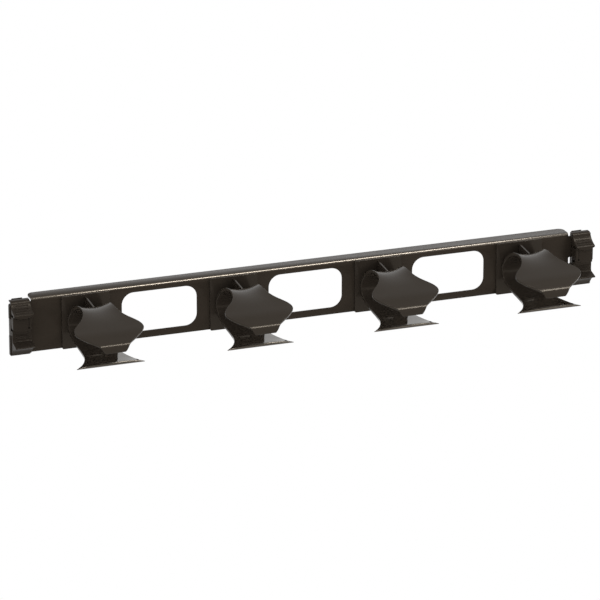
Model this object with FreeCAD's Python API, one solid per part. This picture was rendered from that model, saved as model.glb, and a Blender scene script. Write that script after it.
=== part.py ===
"""Horizontal cable manager for a 19 inch rack, one rack unit high.

A folded steel panel carries four moulded cable hooks. Each end has a pinch latch: an upper and a lower
slider that grip the square holes of the rack rail, pushed apart by springs in a box between them.

Millimetres. X runs to the right, Y to the rear, Z up. Every piece is drawn from the middle of the panel's
front face. The saved model's origin is in the middle of the plane where the latches meet the rack rails.
"""
import FreeCAD, Part
import math
import os

V = FreeCAD.Vector

# Rack standard
RACK_WIDTH = 482.6        # overall width over both latches
RACK_HOLE_SPAN = 465.1    # between the hole rows of the two rails
RAIL_THICKNESS = 3.0      # thickest rail that the latch grips

# Panel: one folded steel sheet
PANEL_HEIGHT = 43.6
SHEET = 1.5
BEND_RADIUS = 2.2         # outside radius of the fold
FLANGE_DEPTH = 13.0       # top flange, front face to rear edge
FLANGE_HALF = 223.1       # half length of the flange
FLANGE_CORNER = 5.0
EAR_DROP = 2.8            # the ears stand this far below the top of the panel
EAR_HALF = 240.3
EAR_OVERLAP = 4.0         # of the ear and the folded part
SLIT_IN = 0.4             # slit in the ear, from the end of the flange
SLIT_OUT = 2.5
SLIT_LOW = -4.2
SLIT_HIGH = 1.3
SLIT_CORNER = 0.8
WINDOW_WIDTH = 61.0
WINDOW_HEIGHT = 32.6
WINDOW_CORNER = 9.5
PITCH = 120.0             # between windows, and between hooks
HOOK_COUNT = 4

# Cable hook: one moulding
HOOK_BASE_WIDTH = 38.7
HOOK_BASE_TOP = 20.4
HOOK_BASE_BOTTOM = -22.3
HOOK_BASE_THICK = 2.0
BAND_THICK = 2.6
GUSSET_THICK = 1.4
BOSS_DIAMETER = 7.0
BOSS_RISE = 1.4           # boss behind the base, sunk in the sheet
BOSS_CLEARANCE = 0.2
HOOK_BASE_CORNER = 1.2
HOOK_SCREW_Z = 13.0
HOOK_SCREW = 2.5
HOOK_SCREW_DEEP = 1.4     # into the base, from its rear face
HOOK_SCREW_HEAD = 8.4
HOOK_SCREW_HEAD_HIGH = 1.8
HOOK_SCREW_ROUND = 0.8    # of the pan head's rim
DRIVE_LONG = 4.4          # cross recess
DRIVE_WIDE = 0.8
DRIVE_DEEP = 0.9
# Web between the base plate and the outer skin of the band, as (forward, up)
GUSSET = ((1.0, 1.5), (1.0, 18.6), (22.0, 16.8), (22.0, 15.4), (18.8, 14.0), (12.0, 10.6), (6.2, 6.2))

# Latch
LATCH_INNER = 225.4       # inner side of the housing
LATCH_OUTER = RACK_WIDTH / 2
HOUSING_THICK = 3.5
HOLLOW_DEEP = 0.7         # finger hollow in the outer side of the housing
HOLLOW_LOW = -6.0
HOLLOW_HIGH = 8.0
BOX_FRONT = 10.0          # spring box, forward of the panel face
BOX_INSET = 0.8           # from the outer side of the housing
BOX_BOTTOM = 1.0          # at the sides
BOX_TOP = 10.6
SKIRT_FRONT = 8.6         # thin skirt under the front of the box, before the lower pad's rim
SKIRT_DROP = 2.4
BOX_SAG = 2.2             # the bottom of the box and the rim below it hang in the middle
GROOVE_X = 228.0          # fine groove down the front of the box
GROOVE_WIDE = 0.5
GROOVE_DEEP = 0.4
EYE_UP = 1.6              # small blind hole at the foot of the groove
EYE_DIAMETER = 1.4
EYE_DEEP = 1.5
BACKPLATE_THICK = 1.2
RAIL_PLANE = SHEET + BACKPLATE_THICK
TRAVEL = 1.6              # of each slider
RUNNING_GAP = 0.35        # between a slider and the fixed parts
NECK_WIDTH = 8.6
NECK_LOW = 13.9           # rest position of the neck in the square hole
NECK_HIGH = 19.4
BARB_HIGH = 21.1
LUG_REACH = 1.2           # lugs beside the neck, trapped between housing and backplate
LUG_GAP = 0.15
BARB_LENGTH = 3.2
BARB_TIP = 0.6            # flat before the barb's ramp
BARB_DROP = 1.6           # end of the ramp below the top of the neck
LATCH_CORNER = 0.8
BACKPLATE_CORNER = 1.0
BACKPLATE_INSET = 0.3     # from the upper and lower edges of the ear
LATCH_SCREW_X = 5.6       # from the middle of the latch
LATCH_SCREW_Z = -4.6
LATCH_SCREW = 1.6
LATCH_SCREW_HEAD = 2.8
LATCH_SCREW_HEAD_HIGH = 1.0
LATCH_SCREW_SUNK = 0.2    # head below the face of the housing
LATCH_SCREW_SLOT = (1.8, 0.4, 0.4)    # long, wide, deep
SCREW_CLEARANCE = 0.1
BARB_CLEAR = TRAVEL + RUNNING_GAP
UPPER_SEAT = BOX_TOP + BARB_CLEAR
LOWER_SEAT = -2.9
SPRING_X = 4.2            # of each spring from the middle of the latch
SPRING_Y = -5.5
SPRING_RADIUS = 1.05
SPRING_WIRE = 0.4
SPRING_TURNS = 6
SPRING_WALL = 0.5         # half the wall between the upper and the lower springs
PEG = 1.9                 # length of the pegs that the springs sit on
PEG_DIAMETER = 1.3
PEG_ROOT = 0.5            # part of a peg inside the pad
BORE_CLEARANCE = 0.3      # round a spring
SEAT_CLEARANCE = 0.2      # round a spring, in the pocket of the lower pad
PAD_INNER = 225.0
PAD_OUTER = 240.5
PAD_BACK = HOUSING_THICK + RUNNING_GAP
ROOF_REAR = -1.4          # the upper pad's roof runs back over the ear
ROOF_HIGH = 22.1
ROOF_LOW = PANEL_HEIGHT / 2 - EAR_DROP + BARB_CLEAR
# Thumb ramp of the upper pad as two arcs, each by three (forward, up) points, and the tip of its lip
BROW = ((2.2, 22.1), (3.7, 21.2), (4.7, 19.6))
HOLLOW = ((4.7, 19.6), (7.9, 16.3), (12.6, 14.1))
LIP_TIP = (13.5, 13.3)
LIP_REAR = BOX_FRONT + RUNNING_GAP
LIP_LOW = 11.0            # of the lip at its rear, at the sides
LIP_RISE = 0.54           # of the lip's underside, for each millimetre forward
LIP_SAG = 2.2
# Lower pad below its rim, as (forward, up): face, shelf lip and finger ramp
LOWER_FRONT = 7.2
SHELF = ((7.0, -8.2), (7.6, -9.5), (11.5, -10.6), (15.0, -11.5), (15.7, -12.0), (15.6, -12.6))
LOWER_RAMP = ((11.7, -14.0), (9.0, -15.5), (7.6, -16.9), (5.8, -19.1), (4.9, -20.6))
RIB_RADIUS = 0.5
RIB_INSET = 2.0           # from both sides of a pad
UPPER_RIBS = (0.12, 0.36, 0.60, 0.84)      # places down the hollow, by share of its length
LOWER_RIBS = (-4.6, -6.0, -7.4)            # heights on the face

REACH = 1.0               # a cutting shape runs this far past the face it starts from
NEAR = 0.01               # closeness when an edge is picked by its place


def solid_box(x0, x1, y0, y1, z0, z1):
    return Part.makeBox(x1 - x0, y1 - y0, z1 - z0, V(x0, y0, z0))


def polygon_prism(points, direction):
    wire = Part.makePolygon(points + [points[0]])
    return Part.Face(wire).extrude(direction)


def side_prism(outline, x0, x1):
    """Extrude an outline of (forward, up) points along X."""
    points = [V(x0, -forward, up) for forward, up in outline]
    return polygon_prism(points, V(x1 - x0, 0, 0))


def rounded_plate(x0, x1, z0, z1, y0, y1, radius):
    """Plate in the XZ plane with four round corners."""
    plate = solid_box(x0, x1, y0, y1, z0, z1)
    corners = [edge for edge in plate.Edges if edge.BoundBox.YLength > y1 - y0 - NEAR]
    return plate.makeFillet(radius, corners)


def rod_y(x, z, y0, y1, diameter):
    return Part.makeCylinder(diameter / 2, y1 - y0, V(x, y0, z), V(0, 1, 0))


def rod_z(x, y, z0, z1, diameter):
    return Part.makeCylinder(diameter / 2, z1 - z0, V(x, y, z0), V(0, 0, 1))


def mirrored(shape):
    return shape.mirror(V(0, 0, 0), V(1, 0, 0))


def save(shape, node):
    if not shape.isValid() or not shape.Solids:
        raise RuntimeError(node + " is not a valid solid")
    placed = shape.translated(V(0, -RAIL_PLANE, 0))
    placed.exportStep("parts/" + node + ".step")


# ---------------------------------------------------------------- panel

def panel_section():
    """L section of the sheet: face down, flange to the rear, with a round fold."""
    top = PANEL_HEIGHT / 2
    inner = BEND_RADIUS - SHEET
    bend = V(0, BEND_RADIUS, top - BEND_RADIUS)
    diagonal = math.sqrt(0.5)

    def on_bend(radius):
        return bend + V(0, -diagonal * radius, diagonal * radius)

    outline = [
        Part.LineSegment(V(0, 0, -top), V(0, 0, top - BEND_RADIUS)),
        Part.Arc(V(0, 0, top - BEND_RADIUS), on_bend(BEND_RADIUS), V(0, BEND_RADIUS, top)),
        Part.LineSegment(V(0, BEND_RADIUS, top), V(0, FLANGE_DEPTH, top)),
        Part.LineSegment(V(0, FLANGE_DEPTH, top), V(0, FLANGE_DEPTH, top - SHEET)),
        Part.LineSegment(V(0, FLANGE_DEPTH, top - SHEET), V(0, BEND_RADIUS, top - SHEET)),
        Part.Arc(V(0, BEND_RADIUS, top - SHEET), on_bend(inner), V(0, SHEET, top - BEND_RADIUS)),
        Part.LineSegment(V(0, SHEET, top - BEND_RADIUS), V(0, SHEET, -top)),
        Part.LineSegment(V(0, SHEET, -top), V(0, 0, -top)),
    ]
    return Part.Face(Part.Wire([piece.toShape() for piece in outline]))


def ear(side):
    """Flat tongue behind a latch, with a slit beside the flange."""
    top = PANEL_HEIGHT / 2
    y0 = -REACH
    y1 = SHEET + REACH
    tongue = solid_box(FLANGE_HALF - EAR_OVERLAP, EAR_HALF, 0, SHEET, -top, top - EAR_DROP)
    slit = rounded_plate(FLANGE_HALF + SLIT_IN, FLANGE_HALF + SLIT_OUT, SLIT_LOW, SLIT_HIGH, y0, y1,
                         SLIT_CORNER)
    tongue = tongue.cut(slit)
    tongue = tongue.cut(neck_slots(y0, y1, LUG_REACH))
    for x, z in latch_screw_places():
        tongue = tongue.cut(rod_y(x, z, y0, y1, LATCH_SCREW + 2 * LUG_GAP))
    if side < 0:
        tongue = mirrored(tongue)
    return tongue


def make_panel():
    body = panel_section().extrude(V(2 * FLANGE_HALF, 0, 0))
    body.translate(V(-FLANGE_HALF, 0, 0))
    corners = []
    for edge in body.Edges:
        box = edge.BoundBox
        if box.XLength < NEAR and box.ZLength > SHEET - NEAR and box.YMin > FLANGE_DEPTH - NEAR:
            corners.append(edge)
    body = body.makeFillet(FLANGE_CORNER, corners)
    for index in (-1, 0, 1):
        x = index * PITCH
        window = rounded_plate(x - WINDOW_WIDTH / 2, x + WINDOW_WIDTH / 2, -WINDOW_HEIGHT / 2,
                               WINDOW_HEIGHT / 2, -REACH, SHEET + REACH, WINDOW_CORNER)
        body = body.cut(window)
    for x in hook_places():
        for z in (-HOOK_SCREW_Z, HOOK_SCREW_Z):
            body = body.cut(rod_y(x, z, -REACH, SHEET + REACH, BOSS_DIAMETER + BOSS_CLEARANCE))
    for side in (-1, 1):
        body = body.fuse(ear(side))
    body = body.removeSplitter()
    if len(body.Solids) != 1:
        raise RuntimeError("the panel is not one sheet")
    return body.Solids[0]


# ---------------------------------------------------------------- cable hook

# Stations along the middle of the band, from the leaf's lower edge over the crest, down the rear wall and
# out along the arm to the lip: forward, up, half width, curl of both edges away from the ring, and how far
# the inner skin closes on the outer one at the edges (1 is a knife edge).
BAND_STATIONS = (
    (74.5, -2.0, 8.2, 0.0, 0.1),
    (74.6, 1.0, 10.3, 0.0, 0.1),
    (74.1, 2.6, 11.5, 0.0, 0.1),
    (72.8, 3.9, 13.4, 0.0, 0.1),
    (69.4, 5.9, 18.6, 0.0, 0.2),
    (65.4, 8.2, 24.0, 0.0, 0.3),
    (62.0, 9.7, 26.7, 0.0, 0.4),
    (58.4, 11.0, 27.1, 0.0, 0.4),
    (54.0, 12.5, 24.8, 0.2, 0.3),
    (48.0, 14.3, 19.2, 0.6, 0.2),
    (41.0, 15.8, 14.8, 1.2, 0.1),
    (33.5, 16.6, 13.1, 2.0, 0.1),
    (26.0, 16.1, 13.0, 2.5, 0.1),
    (18.8, 14.0, 13.5, 2.5, 0.1),
    (12.0, 10.6, 14.2, 1.9, 0.1),
    (6.2, 6.2, 14.8, 0.8, 0.1),
    (3.0, 1.4, 15.1, 0.2, 0.1),
    (2.8, -3.8, 14.9, 0.0, 0.1),
    (5.2, -8.2, 14.6, 0.0, 0.1),
    (11.6, -11.4, 14.1, 0.0, 0.1),
    (19.5, -13.6, 13.7, 0.0, 0.1),
    (29.0, -14.7, 13.7, 0.0, 0.1),
    (38.5, -15.1, 14.4, 0.0, 0.1),
    (47.0, -15.2, 15.9, 0.0, 0.1),
    (54.0, -15.3, 18.6, 0.0, 0.2),
    (59.4, -15.3, 22.4, 0.0, 0.5),
    (63.4, -15.3, 27.0, 0.0, 0.8),
)
ACROSS = (-1.0, -0.82, -0.5, 0.0, 0.5, 0.82, 1.0)
SQUARE = 2                # the curl grows as the square of the place across
FOURTH = 4                # the edges thin as its fourth power


def hook_places():
    return [(index - (HOOK_COUNT - 1) / 2) * PITCH for index in range(HOOK_COUNT)]


def band_normals():
    """Unit normals of the band's middle line, pointing away from the ring's inside."""
    middle = [V(0, -station[0], station[1]) for station in BAND_STATIONS]
    line = Part.BSplineCurve()
    line.interpolate(middle)
    normals = []
    for point in middle:
        tangent = line.tangent(line.parameter(point))[0]
        normals.append(V(0, -tangent.z, tangent.y).normalize())
    return normals


def band_grid(side, normals):
    """Points of one skin of the band: side is 1 for the outer skin and -1 for the inner one."""
    rows = []
    for (forward, up, half, curl, closing), normal in zip(BAND_STATIONS, normals):
        row = []
        for t in ACROSS:
            rise = side * BAND_THICK / 2 + curl * abs(t) ** SQUARE
            if side < 0:
                rise += BAND_THICK * closing * abs(t) ** FOURTH
            row.append(V(half * t, -forward, up) + normal * rise)
        rows.append(row)
    return rows


def skin(grid):
    surface = Part.BSplineSurface()
    surface.interpolate(grid)
    return surface


def ruled_rim(first, second):
    wires = [Part.Wire(first.toShape()), Part.Wire(second.toShape())]
    return Part.makeLoft(wires, False, True).Faces


def band_solid():
    """The curved band as a closed solid between its two skins."""
    normals = band_normals()
    outer = skin(band_grid(1, normals))
    inner = skin(band_grid(-1, normals))
    u0, u1, v0, v1 = outer.bounds()
    faces = [outer.toShape(), inner.toShape()]
    for u in (u0, u1):
        faces += ruled_rim(outer.uIso(u), inner.uIso(u))
    for v in (v0, v1):
        faces += ruled_rim(outer.vIso(v), inner.vIso(v))
    shell = Part.makeShell(faces)
    shell.sewShape()
    solid = Part.makeSolid(shell)
    if solid.Volume < 0:
        solid.reverse()
    return solid


def make_hook():
    half = HOOK_BASE_WIDTH / 2
    hook = rounded_plate(-half, half, HOOK_BASE_BOTTOM, HOOK_BASE_TOP, -HOOK_BASE_THICK, 0,
                         HOOK_BASE_CORNER)
    hook = hook.fuse(band_solid())
    hook = hook.fuse(side_prism(GUSSET, -GUSSET_THICK / 2, GUSSET_THICK / 2))
    for z in (-HOOK_SCREW_Z, HOOK_SCREW_Z):
        hook = hook.fuse(rod_y(0, z, 0, BOSS_RISE, BOSS_DIAMETER))
        hook = hook.cut(rod_y(0, z, -HOOK_SCREW_DEEP, BOSS_RISE + REACH, HOOK_SCREW))
    return hook


def make_hook_screws():
    """Two pan-head screws, driven from behind the panel into the hook's bosses."""
    screws = []
    for z in (-HOOK_SCREW_Z, HOOK_SCREW_Z):
        top = SHEET + HOOK_SCREW_HEAD_HIGH
        head = rod_y(0, z, SHEET, top, HOOK_SCREW_HEAD)
        rim = [edge for edge in head.Edges if edge.BoundBox.YMin > top - NEAR]
        head = head.makeFillet(HOOK_SCREW_ROUND, rim)
        shank = rod_y(0, z, -HOOK_SCREW_DEEP, SHEET, HOOK_SCREW)
        screw = head.fuse(shank)
        for wide, high in ((DRIVE_LONG, DRIVE_WIDE), (DRIVE_WIDE, DRIVE_LONG)):
            slot = solid_box(-wide / 2, wide / 2, top - DRIVE_DEEP, top + REACH, z - high / 2, z + high / 2)
            screw = screw.cut(slot)
        screws.append(screw)
    return Part.makeCompound(screws)


# ---------------------------------------------------------------- latch

def latch_screw_places():
    middle = (LATCH_INNER + LATCH_OUTER) / 2
    return [(middle + side * LATCH_SCREW_X, LATCH_SCREW_Z) for side in (-1, 1)]


def neck_slots(y0, y1, wider):
    """Windows for the necks of both sliders over their whole travel."""
    middle = RACK_HOLE_SPAN / 2
    half = NECK_WIDTH / 2 + RUNNING_GAP + wider
    low = NECK_LOW - TRAVEL - RUNNING_GAP
    high = NECK_HIGH + RUNNING_GAP
    upper = solid_box(middle - half, middle + half, y0, y1, low, high)
    lower = solid_box(middle - half, middle + half, y0, y1, -high, -low)
    return upper.fuse(lower)


def sagging_region(x0, x1, edge, sag, far):
    """Face in the XZ plane between an arc that hangs by sag in the middle and a straight line far off."""
    middle = (x0 + x1) / 2
    arc = Part.Arc(V(x0, 0, edge), V(middle, 0, edge - sag), V(x1, 0, edge)).toShape()
    sides = Part.makePolygon([V(x1, 0, edge), V(x1, 0, far), V(x0, 0, far), V(x0, 0, edge)])
    return Part.Face(Part.Wire([arc] + sides.Edges))


def make_housing():
    top = PANEL_HEIGHT / 2
    face = -HOUSING_THICK
    plate = rounded_plate(LATCH_INNER, LATCH_OUTER, -top, top - EAR_DROP, face, 0, LATCH_CORNER)
    plate = plate.cut(solid_box(LATCH_OUTER - HOLLOW_DEEP, LATCH_OUTER + REACH, face - REACH, REACH,
                                HOLLOW_LOW, HOLLOW_HIGH))
    outer = LATCH_OUTER - BOX_INSET
    box = solid_box(LATCH_INNER, outer, -BOX_FRONT, face, BOX_BOTTOM - BOX_SAG - REACH, BOX_TOP)
    edges = [edge for edge in box.Edges
             if edge.BoundBox.YMax < NEAR - BOX_FRONT and edge.BoundBox.ZLength > REACH]
    box = box.makeFillet(LATCH_CORNER, edges)
    below = sagging_region(LATCH_INNER, outer, BOX_BOTTOM, BOX_SAG, -top)
    box = box.cut(below.extrude(V(0, -top, 0)))
    skirt = solid_box(LATCH_INNER, outer, -SKIRT_FRONT, -LOWER_FRONT - RIB_RADIUS - RUNNING_GAP,
                      BOX_BOTTOM - BOX_SAG - SKIRT_DROP - REACH, BOX_BOTTOM + REACH)
    below.translate(V(0, 0, -SKIRT_DROP))
    skirt = skirt.cut(below.extrude(V(0, -top, 0)))
    housing = plate.fuse(box).fuse(skirt)
    housing = housing.cut(neck_slots(face - REACH, REACH, 0))
    housing = housing.cut(solid_box(GROOVE_X - GROOVE_WIDE / 2, GROOVE_X + GROOVE_WIDE / 2,
                                    -BOX_FRONT - REACH, GROOVE_DEEP - BOX_FRONT, EYE_UP, top))
    housing = housing.cut(rod_y(GROOVE_X, EYE_UP, -BOX_FRONT - REACH, EYE_DEEP - BOX_FRONT, EYE_DIAMETER))
    bore = 2 * (SPRING_RADIUS + BORE_CLEARANCE) + SPRING_WIRE
    for x in spring_places():
        housing = housing.cut(rod_z(x, SPRING_Y, LOWER_SEAT, spring_wall() - SPRING_WALL, bore))
        housing = housing.cut(rod_z(x, SPRING_Y, spring_wall() + SPRING_WALL, BOX_TOP + REACH, bore))
    seat = face + LATCH_SCREW_SUNK + LATCH_SCREW_HEAD_HIGH
    for x, z in latch_screw_places():
        housing = housing.cut(rod_y(x, z, face - REACH, REACH, LATCH_SCREW + SCREW_CLEARANCE))
        housing = housing.cut(rod_y(x, z, face - REACH, seat, LATCH_SCREW_HEAD + SCREW_CLEARANCE))
    return housing.removeSplitter()


def make_backplate():
    top = PANEL_HEIGHT / 2
    y0 = SHEET
    y1 = SHEET + BACKPLATE_THICK
    plate = rounded_plate(LATCH_INNER + BACKPLATE_INSET, EAR_HALF, BACKPLATE_INSET - top,
                          top - EAR_DROP - BACKPLATE_INSET, y0, y1, BACKPLATE_CORNER)
    plate = plate.cut(neck_slots(y0 - REACH, y1 + REACH, 0))
    for x, z in latch_screw_places():
        plate = plate.cut(rod_y(x, z, y0 - REACH, y1 + REACH, LATCH_SCREW + SCREW_CLEARANCE))
    return plate


def make_latch_screws():
    """Two small screws that clamp housing, ear and backplate together."""
    screws = []
    top = LATCH_SCREW_SUNK - HOUSING_THICK
    seat = top + LATCH_SCREW_HEAD_HIGH
    long, wide, deep = LATCH_SCREW_SLOT
    for x, z in latch_screw_places():
        head = rod_y(x, z, top, seat, LATCH_SCREW_HEAD)
        shank = rod_y(x, z, seat, RAIL_PLANE, LATCH_SCREW)
        slot = solid_box(x - long / 2, x + long / 2, top - REACH, top + deep, z - wide / 2, z + wide / 2)
        screws.append(head.fuse(shank).cut(slot))
    return Part.makeCompound(screws)


def spring_places():
    middle = (LATCH_INNER + LATCH_OUTER) / 2
    return (middle - SPRING_X, middle + SPRING_X)


def spring_wall():
    """Middle of the wall between the upper and the lower springs."""
    return (UPPER_SEAT + LOWER_SEAT) / 2


def coil(x, y, z0, z1, turns):
    """Helical compression spring of round wire, standing on Z."""
    pitch = (z1 - z0 - SPRING_WIRE) / turns
    helix = Part.makeHelix(pitch, z1 - z0 - SPRING_WIRE, SPRING_RADIUS)
    helix.translate(V(x, y, z0 + SPRING_WIRE / 2))
    start = V(x + SPRING_RADIUS, y, z0 + SPRING_WIRE / 2)
    section = Part.Wire(Part.makeCircle(SPRING_WIRE / 2, start, V(0, 1, 0)))
    return Part.Wire(helix.Edges).makePipeShell([section], True, True)


def make_springs(upper):
    """The pair of springs of one slider, from the box's middle wall to the slider's seat."""
    coils = []
    for x in spring_places():
        if upper:
            coils.append(coil(x, SPRING_Y, spring_wall() + SPRING_WALL, UPPER_SEAT, SPRING_TURNS))
        else:
            coils.append(coil(x, SPRING_Y, LOWER_SEAT, spring_wall() - SPRING_WALL, SPRING_TURNS))
    return Part.makeCompound(coils)


def neck_and_barb(sign):
    """Neck through housing and rail, with a ramped barb that grips behind the rail."""
    x0 = (RACK_HOLE_SPAN - NECK_WIDTH) / 2
    x1 = x0 + NECK_WIDTH
    rear = RAIL_PLANE + RAIL_THICKNESS
    outline = [
        (HOUSING_THICK + REACH, NECK_LOW),
        (HOUSING_THICK + REACH, NECK_HIGH),
        (-rear, NECK_HIGH),
        (-rear, BARB_HIGH),
        (-rear - BARB_TIP, BARB_HIGH),
        (-rear - BARB_LENGTH, NECK_HIGH - BARB_DROP),
        (-rear - BARB_LENGTH, NECK_LOW),
    ]
    neck = side_prism([(forward, sign * up) for forward, up in outline], x0, x1)
    low, high = sorted((sign * NECK_LOW, sign * NECK_HIGH))
    lugs = solid_box(x0 - LUG_REACH, x1 + LUG_REACH, LUG_GAP, SHEET - LUG_GAP, low, high)
    return neck.fuse(lugs)


def ribbed(pad, places):
    """Add half-round ribs to a pad at (forward, up) places."""
    length = PAD_OUTER - PAD_INNER - 2 * RIB_INSET
    for forward, up in places:
        rib = Part.makeCylinder(RIB_RADIUS, length, V(PAD_INNER + RIB_INSET, -forward, up), V(1, 0, 0))
        pad = pad.fuse(rib)
    return pad


def pegged(pad, z0, z1):
    """Add the pegs that the springs sit on."""
    for x in spring_places():
        pad = pad.fuse(rod_z(x, SPRING_Y, z0, z1, PEG_DIAMETER))
    return pad


def side_point(place):
    forward, up = place
    return V(0, -forward, up)


def side_arc(places):
    start, middle, end = [side_point(place) for place in places]
    return Part.Arc(start, middle, end).toShape()


def make_upper_latch():
    """Upper slider: a hollow thumb ramp from a roof over the ear to a lip in front of the spring box."""
    tip_forward = LIP_TIP[0]
    low = LIP_LOW - LIP_SAG
    corners = [HOLLOW[-1], LIP_TIP, (tip_forward, low), (LIP_REAR, low), (LIP_REAR, UPPER_SEAT),
               (PAD_BACK, UPPER_SEAT), (PAD_BACK, ROOF_LOW), (ROOF_REAR, ROOF_LOW), (ROOF_REAR, ROOF_HIGH),
               BROW[0]]
    straight = Part.makePolygon([side_point(place) for place in corners])
    hollow = side_arc(HOLLOW)
    outline = Part.Wire(straight.Edges + [side_arc(BROW), hollow])
    pad = Part.Face(outline).extrude(V(PAD_OUTER - PAD_INNER, 0, 0))
    pad.translate(V(PAD_INNER, 0, 0))
    below = sagging_region(PAD_INNER, PAD_OUTER, LIP_LOW, LIP_SAG, LIP_LOW - 2 * LIP_SAG)
    run = tip_forward - LIP_REAR + REACH
    below.translate(V(0, -LIP_REAR, 0))
    pad = pad.cut(below.extrude(V(0, -run, run * LIP_RISE)))
    ribs = []
    for share in UPPER_RIBS:
        place = hollow.valueAt(hollow.FirstParameter + share * (hollow.LastParameter - hollow.FirstParameter))
        ribs.append((-place.y, place.z))
    pad = ribbed(pad, ribs)
    pad = pegged(pad, UPPER_SEAT - PEG, UPPER_SEAT + PEG_ROOT)
    return pad.fuse(neck_and_barb(1)).removeSplitter()


def make_lower_latch():
    """Lower slider: a pad under the spring box with a shelf lip and a finger ramp."""
    rim = BOX_BOTTOM - BARB_CLEAR
    outline = [(PAD_BACK, rim), (LOWER_FRONT, rim)] + list(SHELF + LOWER_RAMP) + [(PAD_BACK, -ROOF_LOW)]
    pad = side_prism(outline, PAD_INNER, PAD_OUTER)
    above = sagging_region(LATCH_INNER, LATCH_OUTER - BOX_INSET, rim, BOX_SAG, PANEL_HEIGHT)
    pad = pad.cut(above.extrude(V(0, -PANEL_HEIGHT, 0)))
    pocket = 2 * (SPRING_RADIUS + SEAT_CLEARANCE) + SPRING_WIRE
    for x in spring_places():
        pad = pad.cut(rod_z(x, SPRING_Y, LOWER_SEAT, BOX_TOP, pocket))
    pad = ribbed(pad, [(LOWER_FRONT - RIB_RADIUS / 2, up) for up in LOWER_RIBS])
    pad = pegged(pad, LOWER_SEAT - PEG_ROOT, LOWER_SEAT + PEG)
    return pad.fuse(neck_and_barb(-1)).removeSplitter()


# ---------------------------------------------------------------- parts

def main():
    os.makedirs("parts", exist_ok=True)
    save(make_panel(), "panel")
    hook = make_hook()
    screws = make_hook_screws()
    for number, x in enumerate(hook_places(), 1):
        save(hook.translated(V(x, 0, 0)), "cable_hook_%d" % number)
        save(screws.translated(V(x, 0, 0)), "hook_screws_%d" % number)
    latch = {
        "housing": make_housing(),
        "backplate": make_backplate(),
        "screws": make_latch_screws(),
        "upper_springs": make_springs(True),
        "lower_springs": make_springs(False),
        "upper_slider": make_upper_latch(),
        "lower_slider": make_lower_latch(),
    }
    for name, shape in latch.items():
        save(shape, "right_latch_" + name)
        save(mirrored(shape), "left_latch_" + name)


main()
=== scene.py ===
"""Horizontal cable manager for a 19 inch rack: the finished surfaces over the CAD frame.

A folded steel panel in satin black powder coat carries four moulded cable hooks, with a pinch latch at each
end. Every piece is built in metres, in the frame of the CAD model.
"""

import math

import bmesh
import bpy
import numpy as np
from bpy.props import FloatProperty, FloatVectorProperty, IntProperty, PointerProperty
from mathutils import Matrix, Vector


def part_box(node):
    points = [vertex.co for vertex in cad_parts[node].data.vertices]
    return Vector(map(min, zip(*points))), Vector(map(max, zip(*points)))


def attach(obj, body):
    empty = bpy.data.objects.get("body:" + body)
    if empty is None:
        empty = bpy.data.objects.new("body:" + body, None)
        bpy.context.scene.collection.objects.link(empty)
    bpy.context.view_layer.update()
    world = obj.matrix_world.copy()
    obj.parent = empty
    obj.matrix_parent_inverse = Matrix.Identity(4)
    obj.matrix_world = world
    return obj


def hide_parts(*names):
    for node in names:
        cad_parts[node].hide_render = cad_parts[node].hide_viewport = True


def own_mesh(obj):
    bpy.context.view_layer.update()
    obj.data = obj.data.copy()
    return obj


bl_info = {
    "name": "Rack Cable Manager",
    "version": (1, 0, 0),
    "blender": (4, 5, 0),
    "location": "View3D > Sidebar > Cable Manager",
    "description": "Builds the pieces, finishes and stage of a horizontal rack cable manager",
    "category": "Object",
}

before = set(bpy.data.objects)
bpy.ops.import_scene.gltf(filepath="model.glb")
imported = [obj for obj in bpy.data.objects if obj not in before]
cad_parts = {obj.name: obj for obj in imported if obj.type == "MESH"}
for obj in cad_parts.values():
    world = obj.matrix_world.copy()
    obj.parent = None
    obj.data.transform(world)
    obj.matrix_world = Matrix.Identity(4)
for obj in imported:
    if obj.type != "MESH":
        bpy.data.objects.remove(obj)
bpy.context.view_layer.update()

MM = 0.001
FACE_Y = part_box("panel")[0].y             # front face of the panel
HOOK_NUMBERS = range(1, 5)
HOOKS = [sum(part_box("cable_hook_%d" % n), Vector()).x / 2 for n in HOOK_NUMBERS]
SIDES = ("left", "right")


# ---------------------------------------------------------------- sizes and colours

def linear(code):
    """Linear colour from an sRGB hex value."""
    def channel(value):
        value /= 255
        return value / 12.92 if value <= 0.04045 else ((value + 0.055) / 1.055) ** 2.4

    return tuple(channel(int(code[i:i + 2], 16)) for i in (1, 3, 5))


def length(name, description, default):
    return FloatProperty(name=name, description=description, default=default, min=0.0, unit="LENGTH",
                         subtype="DISTANCE", precision=5)


def colour(name, description, default):
    return FloatVectorProperty(name=name, description=description, default=linear(default), min=0.0,
                               max=1.0, size=3, subtype="COLOR")


class HookSizes(bpy.types.PropertyGroup):
    """Sizes of one moulded cable hook."""
    thickness: length("Band thickness", "Wall of the curved band", 2.6 * MM)
    edge: length("Edge radius", "Rounding of the band's edges", 0.45 * MM)
    plate: length("Plate thickness", "Base plate against the panel", 2.0 * MM)
    web: length("Web thickness", "Web between base plate and band", 1.4 * MM)


class LatchSizes(bpy.types.PropertyGroup):
    """Sizes of the pinch latches."""
    rib: length("Rib radius", "Half-round grip ribs on the pads", 0.5 * MM)
    rib_inset: length("Rib inset", "From the sides of a pad", 2.0 * MM)
    upper_ribs: IntProperty(name="Upper ribs", description="Ribs on the upper pad", default=4, min=1)
    lower_ribs: IntProperty(name="Lower ribs", description="Ribs on the lower pad", default=3, min=1)
    edge: length("Edge radius", "Rounding of moulded edges", 0.35 * MM)
    wire: length("Spring wire", "Diameter of the spring wire", 0.4 * MM)
    coil: length("Coil radius", "Middle radius of a spring", 1.05 * MM)
    turns: IntProperty(name="Spring turns", description="Turns of each spring", default=6, min=2)


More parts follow.
